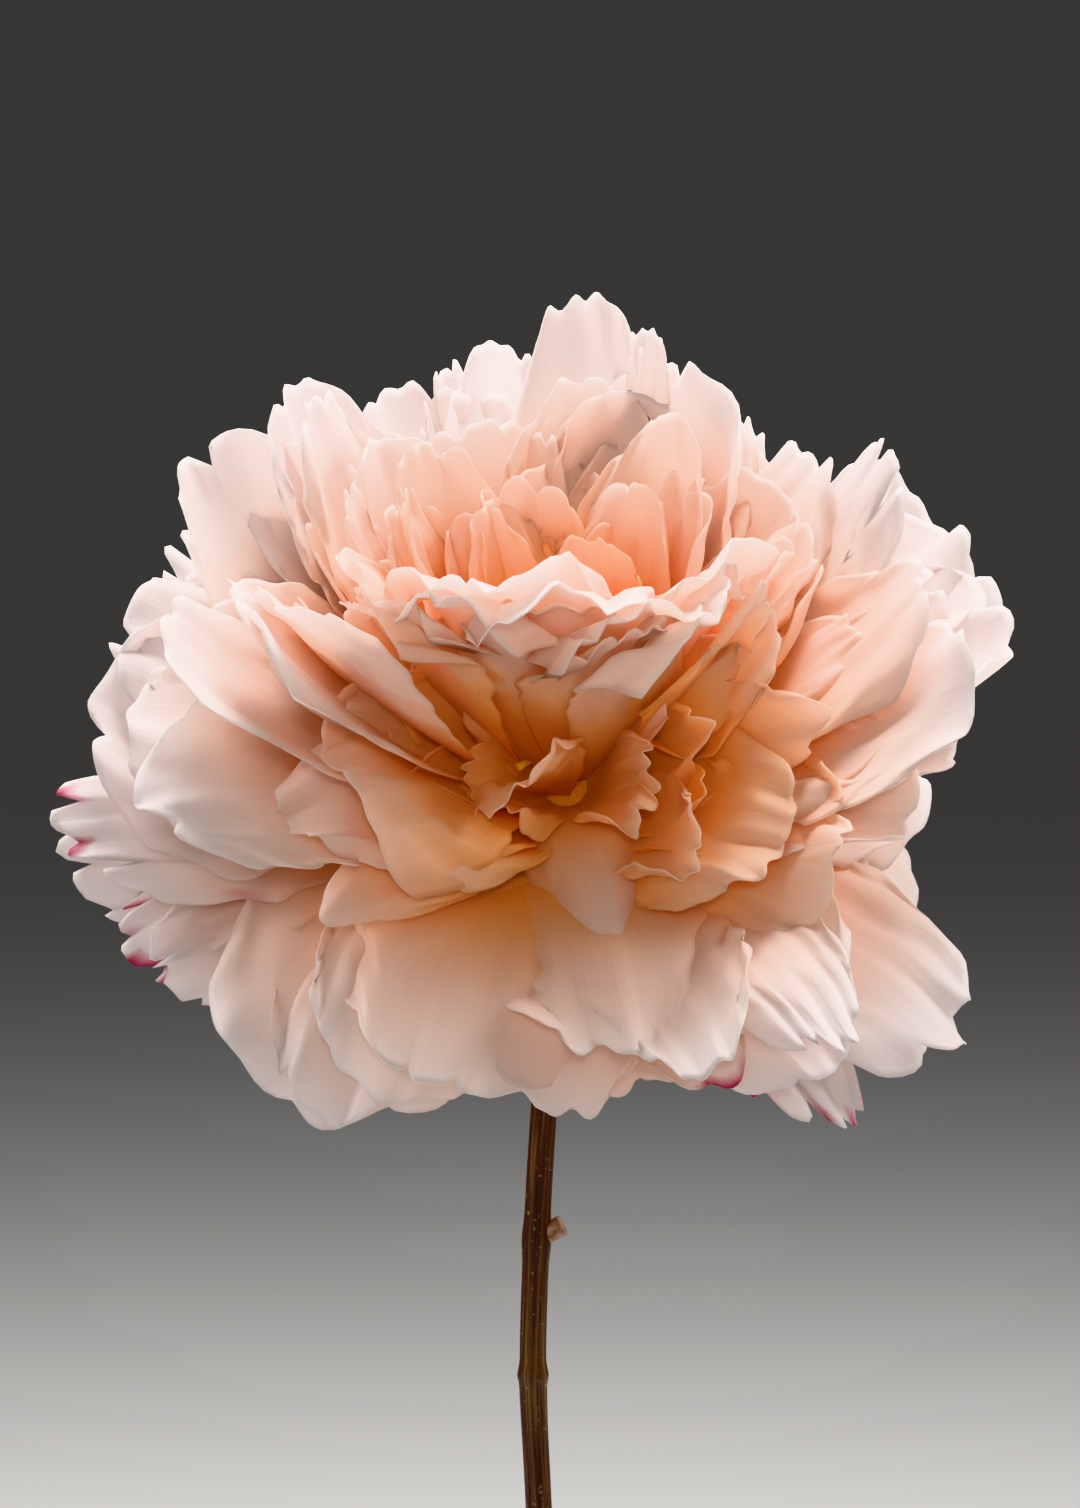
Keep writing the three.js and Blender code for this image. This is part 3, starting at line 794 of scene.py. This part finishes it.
def place_veins(tree, group, lines, wander):
    """The veins in a material, as height and mask: so many lines across, wandering so often along."""
    node = tree.nodes.new("ShaderNodeGroup")
    node.node_tree = group
    node.inputs["Lines"].default_value = lines
    node.inputs["Wander"].default_value = wander
    return node.outputs["Height"], node.outputs["Mask"]


# ---- Materials ----


def petal_material(veins):
    """Apricot near the heart, partly the petals' own colour and partly painted glow, blush further out and
    near white at the tip, letting light through.
    """
    material, tree, shader = start_material("petal_blush")
    new, link = tree.nodes.new, tree.links.new
    away = new("ShaderNodeVectorMath")
    away.operation = "DISTANCE"
    away.inputs[1].default_value = tuple(HEART * MM)
    link(object_place(tree), away.inputs[0])
    # The pale attribute moves a petal along the colours: a random change of tone plus painted light that
    # makes some petals paler.
    shifted = reckon(tree, "MULTIPLY_ADD", attribute(tree, "pale"), MM, away.outputs["Value"])
    # The petals' own apricot base, made deeper and more saturated near the heart as painted glow that stands
    # in for light passing through the inner petals.
    colour = colour_ramp(tree, span(tree, shifted, CORE * MM, COLOUR_REACH * MM), [
        (0.00, (1.0, 0.40, 0.02)),
        (0.20, (1.0, 0.48, 0.08)),
        (0.38, (1.0, 0.64, 0.32)),
        (0.56, (0.98, 0.80, 0.69)),
        (0.82, (0.965, 0.91, 0.895)),
    ])
    height, mask = place_veins(tree, veins, 46, 2.2)
    veined = mix_colour(tree, 0.10, colour, mask, "SOFT_LIGHT")
    crimson = (0.62, 0.02, 0.13, 1)
    flecked = mix_colour(tree, attribute(tree, "fleck"), veined, crimson)
    link(flecked, shader.inputs["Base Color"])
    shader.inputs["Roughness"].default_value = 0.52
    shader.inputs["Sheen Weight"].default_value = 0.15
    shader.inputs["Sheen Roughness"].default_value = 0.4
    add_bump(tree, height, 0.35, 0.0004, shader)
    through = new("ShaderNodeBsdfTranslucent")
    link(flecked, through.inputs["Color"])
    mix = new("ShaderNodeMixShader")
    mix.inputs[0].default_value = 0.47
    link(shader.outputs[0], mix.inputs[1])
    link(through.outputs[0], mix.inputs[2])
    link(mix.outputs[0], tree.nodes["Material Output"].inputs["Surface"])
    return material


def stem_material(veins):
    """Red-brown skin that turns olive in lengthwise streaks, with pale pores."""
    material, tree, shader = start_material("stem_skin")
    height, mask = place_veins(tree, veins, 22, 9)
    streaked = colour_ramp(tree, mask, [
        (0.0, (0.030, 0.006, 0.003)),
        (0.40, (0.070, 0.018, 0.006)),
        (0.72, (0.12, 0.055, 0.016)),
        (1.0, (0.17, 0.12, 0.035)),
    ])
    pores = span(tree, speckle(tree, object_place(tree), 900, 2), 0.66, 0.74)
    pored = mix_colour(tree, pores, streaked, (0.28, 0.20, 0.10, 1))
    tree.links.new(pored, shader.inputs["Base Color"])
    shader.inputs["Roughness"].default_value = 0.42
    add_bump(tree, height, 0.6, 0.0006, shader)
    return material


def grainy_material(name, scale, dark, light, roughness, bump):
    """Two colours mottled by a fine noise; bump is its strength and its distance in metres, or None."""
    material, tree, shader = start_material(name)
    grain = speckle(tree, object_place(tree), scale)
    mottled = colour_ramp(tree, grain, [(0.3, dark), (0.7, light)])
    tree.links.new(mottled, shader.inputs["Base Color"])
    shader.inputs["Roughness"].default_value = roughness
    if bump:
        add_bump(tree, grain, *bump, shader)
    return material


def cut_material():
    """The pale, dry face of the cut leaf stalk."""
    return grainy_material("cut_stalk", 700, (0.20, 0.10, 0.05), (0.50, 0.33, 0.24), 0.7, None)


def seat_material():
    """The fleshy disc under the petals: rough amber, hardly shiny."""
    dark_amber, light_amber = (0.75, 0.24, 0.03), (0.95, 0.42, 0.08)
    material = grainy_material("receptacle", 500, dark_amber, light_amber, 0.85, (0.5, 0.0005))
    shader = material.node_tree.nodes["Principled BSDF"]
    shader.inputs["Specular IOR Level"].default_value = 0.1
    return material


def carpel_material():
    """Downy skin, mottled pale green and cream."""
    return grainy_material("carpel_skin", 1400, (0.42, 0.42, 0.14), (0.74, 0.66, 0.36), 0.65, (0.4, 0.0003))


def anther_material():
    """Deep yellow, grainy with pollen."""
    return grainy_material("anther", 2600, (0.80, 0.42, 0.05), (0.95, 0.68, 0.16), 0.8, None)


def sepal_material(veins):
    """Olive green with redder edges and fine veins."""
    material, tree, shader = start_material("sepal_skin")
    height, mask = place_veins(tree, veins, 26, 3)
    from_middle = reckon(tree, "SUBTRACT", own_map(tree)[0], 0.5)
    rim = span(tree, reckon(tree, "ABSOLUTE", from_middle), 0.34, 0.5)
    green = colour_ramp(tree, mask, [(0.0, (0.10, 0.13, 0.035)), (1.0, (0.24, 0.28, 0.09))])
    edged = mix_colour(tree, rim, green, (0.26, 0.07, 0.04, 1))
    tree.links.new(edged, shader.inputs["Base Color"])
    shader.inputs["Roughness"].default_value = 0.5
    add_bump(tree, height, 0.5, 0.0005, shader)
    return material


def glaze_material():
    """Satin umber glaze with dark specks, rust brown at the lip and ragged above the bare clay foot."""
    material, tree, shader = start_material("vase_glaze")
    new, link = tree.nodes.new, tree.links.new
    place = object_place(tree)
    apart = new("ShaderNodeSeparateXYZ")
    link(place, apart.inputs[0])
    height = apart.outputs["Z"]
    cloud = speckle(tree, place, 28, 5)
    body = colour_ramp(tree, cloud, [
        (0.3, (0.040, 0.020, 0.013)),
        (0.55, (0.075, 0.038, 0.023)),
        (0.8, (0.13, 0.066, 0.036)),
    ])
    specks = span(tree, speckle(tree, place, 520, 2), 0.63, 0.72)
    speckled = mix_colour(tree, specks, body, (0.020, 0.010, 0.007, 1))
    lip = span(tree, height, (VASE_HEIGHT - 3.2) * MM, (VASE_HEIGHT - 0.4) * MM)
    edged = mix_colour(tree, lip, speckled, (0.30, 0.13, 0.055, 1))
    ragged = reckon(tree, "MULTIPLY_ADD", cloud, 0.0025, height)
    glazed = span(tree, ragged, 0.0034, 0.0042)
    bare_clay = (0.36, 0.22, 0.14, 1)
    link(mix_colour(tree, glazed, bare_clay, edged), shader.inputs["Base Color"])
    link(span(tree, glazed, 0.0, 1.0, 0.75, 0.30), shader.inputs["Roughness"])
    rings = new("ShaderNodeTexWave")
    rings.bands_direction = "Z"
    rings.inputs["Scale"].default_value = 42
    rings.inputs["Distortion"].default_value = 1.2
    link(place, rings.inputs["Vector"])
    add_bump(tree, rings.outputs["Fac"], 0.25, 0.0004, shader)
    return material


# ---- Build ----


def add_petal(petal, material, *nodes):
    """One petal, which stands for the CAD nodes named, if any."""
    piece = mesh_from_grid(f"ruffled_{petal['name']}", petal_points(petal, PETAL_GRID))
    paint(piece, petal)
    thicken(piece, PETAL_WALL)
    settle(piece, material, "petal_blush", *nodes)


def add_bloom(veins):
    """The frame's petals, the ones between them, and smaller ones beside those at the sides and the back."""
    skin = petal_material(veins)
    rng = np.random.RandomState(7)
    framed = [as_petal(row) for row in FRAME_PETALS]
    extra = [as_petal(row) for row in EXTRA_PETALS]
    for petal in framed:
        add_petal(petal, skin, f"petal_{petal['name']}")
    for petal in extra + rosette(rng):
        add_petal(petal, skin)
    for petal in framed + extra:
        aside = abs(petal["azimuth"])
        if aside > BESIDE_FROM and petal["lean"] < 90:
            count = 1 if aside < BESIDE_TWO_FROM else 2
            for smaller in companions(petal, count, rng):
                add_petal(smaller, skin)


def add_calyx(veins):
    """The sepals, each made as a petal that leans back under the bloom."""
    skin = sepal_material(veins)
    turn = 360 / SEPAL_COUNT
    for k in range(SEPAL_COUNT):
        sepal = {
            "name": f"sepal_{k + 1}",
            "azimuth": (k + 0.5) * turn,
            "lean": SEPAL_LEAN,
            "length": SEPAL_LENGTH,
            "width": SEPAL_WIDTH,
            "tip": "sepal",
            "cup": 2.2,
            "roll": 0,
            "curl": 3,
            "wild": 0.6,
        }
        piece = mesh_from_grid(f"calyx_{k + 1}", petal_points(sepal, SEPAL_GRID))
        thicken(piece, SEPAL_WALL)
        settle(piece, skin, "sepal_skin", f"sepal_{k + 1}")


def add_centre():
    """The carpels, and the ring of stamens round them."""
    skin = carpel_material()
    for k in range(CARPEL_COUNT):
        points = flask_points(k * 2 * math.pi / CARPEL_COUNT)
        piece = mesh_from_grid(f"flask_{k + 1}", points, weld=True)
        settle(piece, skin, "carpel_skin", f"carpel_{k + 1}")
    pollen = anther_material()
    rng = np.random.RandomState(11)
    for k in range(STAMEN_COUNT):
        lean = rng.uniform(27, 40)
        length = rng.uniform(12, 18)
        points = stamen_points(k * STAMEN_TURN, lean, length)
        piece = mesh_from_grid(f"stamen_{k + 1}", points, weld=True)
        settle(piece, pollen, "carpel_skin")


def add_stem(veins):
    """The stem, the receptacle on its top and the cut leaf stalk at its side."""
    stem = mesh_from_grid("ridged_stem", sweep(stem_line(), stem_radius, STEM_SIDES), weld=True)
    settle(stem, stem_material(veins), "stem_skin", "stem")
    seat = mesh_from_grid("receptacle", ball_points(HEART, CORE - TOUCH_GAP), weld=True)
    settle(seat, seat_material(), "stem_skin")
    stalk = mesh_from_grid("cut_leaf_stalk", stub_points(), weld=True)
    settle(stalk, cut_material(), "stem_skin")


def add_vase():
    vase = mesh_from_grid("turned_vase", vase_points(), weld=True)
    settle(vase, glaze_material(), "vase_glaze", "vase")


# ---- Stage, light and camera, in metres ----


def add_floor():
    """A plain pale floor, much wider than the view."""
    bpy.ops.mesh.primitive_plane_add(size=12)
    floor = bpy.context.object
    floor.name = "pale_floor"
    material, _, shader = start_material("pale_floor")
    shader.inputs["Base Color"].default_value = (0.44, 0.43, 0.42, 1)
    shader.inputs["Roughness"].default_value = 0.9
    floor.data.materials.append(material)


def add_world():
    """Soft white as light, but the far floor's grey to the camera, so that no horizon shows."""
    world = bpy.data.worlds.new("studio")
    bpy.context.scene.world = world
    world.use_nodes = True
    tree = world.node_tree
    soft = tree.nodes["Background"]
    soft.inputs["Color"].default_value = (0.80, 0.79, 0.78, 1)
    soft.inputs["Strength"].default_value = 0.20
    seen = tree.nodes.new("ShaderNodeBackground")
    seen.inputs["Color"].default_value = (0.078, 0.0765, 0.075, 1)
    path = tree.nodes.new("ShaderNodeLightPath")
    pick = tree.nodes.new("ShaderNodeMixShader")
    tree.links.new(path.outputs["Is Camera Ray"], pick.inputs[0])
    tree.links.new(soft.outputs[0], pick.inputs[1])
    tree.links.new(seen.outputs[0], pick.inputs[2])
    tree.links.new(pick.outputs[0], tree.nodes["World Output"].inputs[0])


def aim(name, data, start, target):
    """Put a lamp or camera at the start, turned towards the target, and return it."""
    holder = bpy.data.objects.new(name, data)
    bpy.context.collection.objects.link(holder)
    holder.location = start
    holder.rotation_euler = (target - start).to_track_quat("-Z", "Y").to_euler()
    return holder


def add_light(name, offset, size, watts):
    """A square area light at an offset from the heart, turned towards it."""
    lamp = bpy.data.lights.new(name, "AREA")
    lamp.energy = watts
    lamp.size = size
    heart = Vector(HEART * MM)
    aim(name, lamp, heart + Vector(offset), heart)


def add_snoot():
    """A narrow warm spot on the middle of the bloom."""
    lamp = bpy.data.lights.new("centre_snoot", "SPOT")
    lamp.energy = 26
    lamp.color = (1.0, 0.86, 0.72)
    lamp.spot_size = math.radians(6.5)
    lamp.spot_blend = 1.0
    lamp.shadow_soft_size = 0.08
    heart = Vector(HEART * MM)
    aim("centre_snoot", lamp, heart + Vector((0.02, -0.9, 0.22)), heart)


def add_camera():
    """A little above the bloom's height, with a sensor of 36 mm that takes in 0.3016 m at the bloom."""
    rise = math.radians(4)
    distance = 0.9
    seen_height = 0.3016
    look = Vector(HEART * MM) + Vector((-0.005, 0, 0.009))
    back = Vector((0, -math.cos(rise), math.sin(rise)))
    lens = bpy.data.cameras.new("camera")
    lens.lens = 36 * distance / seen_height
    bpy.context.scene.camera = aim("camera", lens, look + back * distance, look)


def set_view():
    """Tones that keep pale petals from burning out, and enough bounces for light between the petals."""
    scene = bpy.context.scene
    scene.view_settings.view_transform = "Khronos PBR Neutral"
    scene.cycles.diffuse_bounces = 10
    scene.cycles.max_bounces = 14
    scene.cycles.transmission_bounces = 14


lengthwise_veins = vein_group()
add_bloom(lengthwise_veins)
add_calyx(lengthwise_veins)
add_centre()
add_stem(lengthwise_veins)
add_vase()

add_floor()
add_world()
add_light("top_key", (0.05, 0.2, 0.85), 0.36, 21)
add_light("left_rim", (-0.8, 0.20, 0.45), 0.4, 7.5)
add_light("right_rim", (0.8, 0.05, 0.5), 0.4, 7.5)
add_snoot()
add_light("front_fill", (-0.2, -1.1, 0.3), 0.9, 1.6)
add_camera()
set_view()
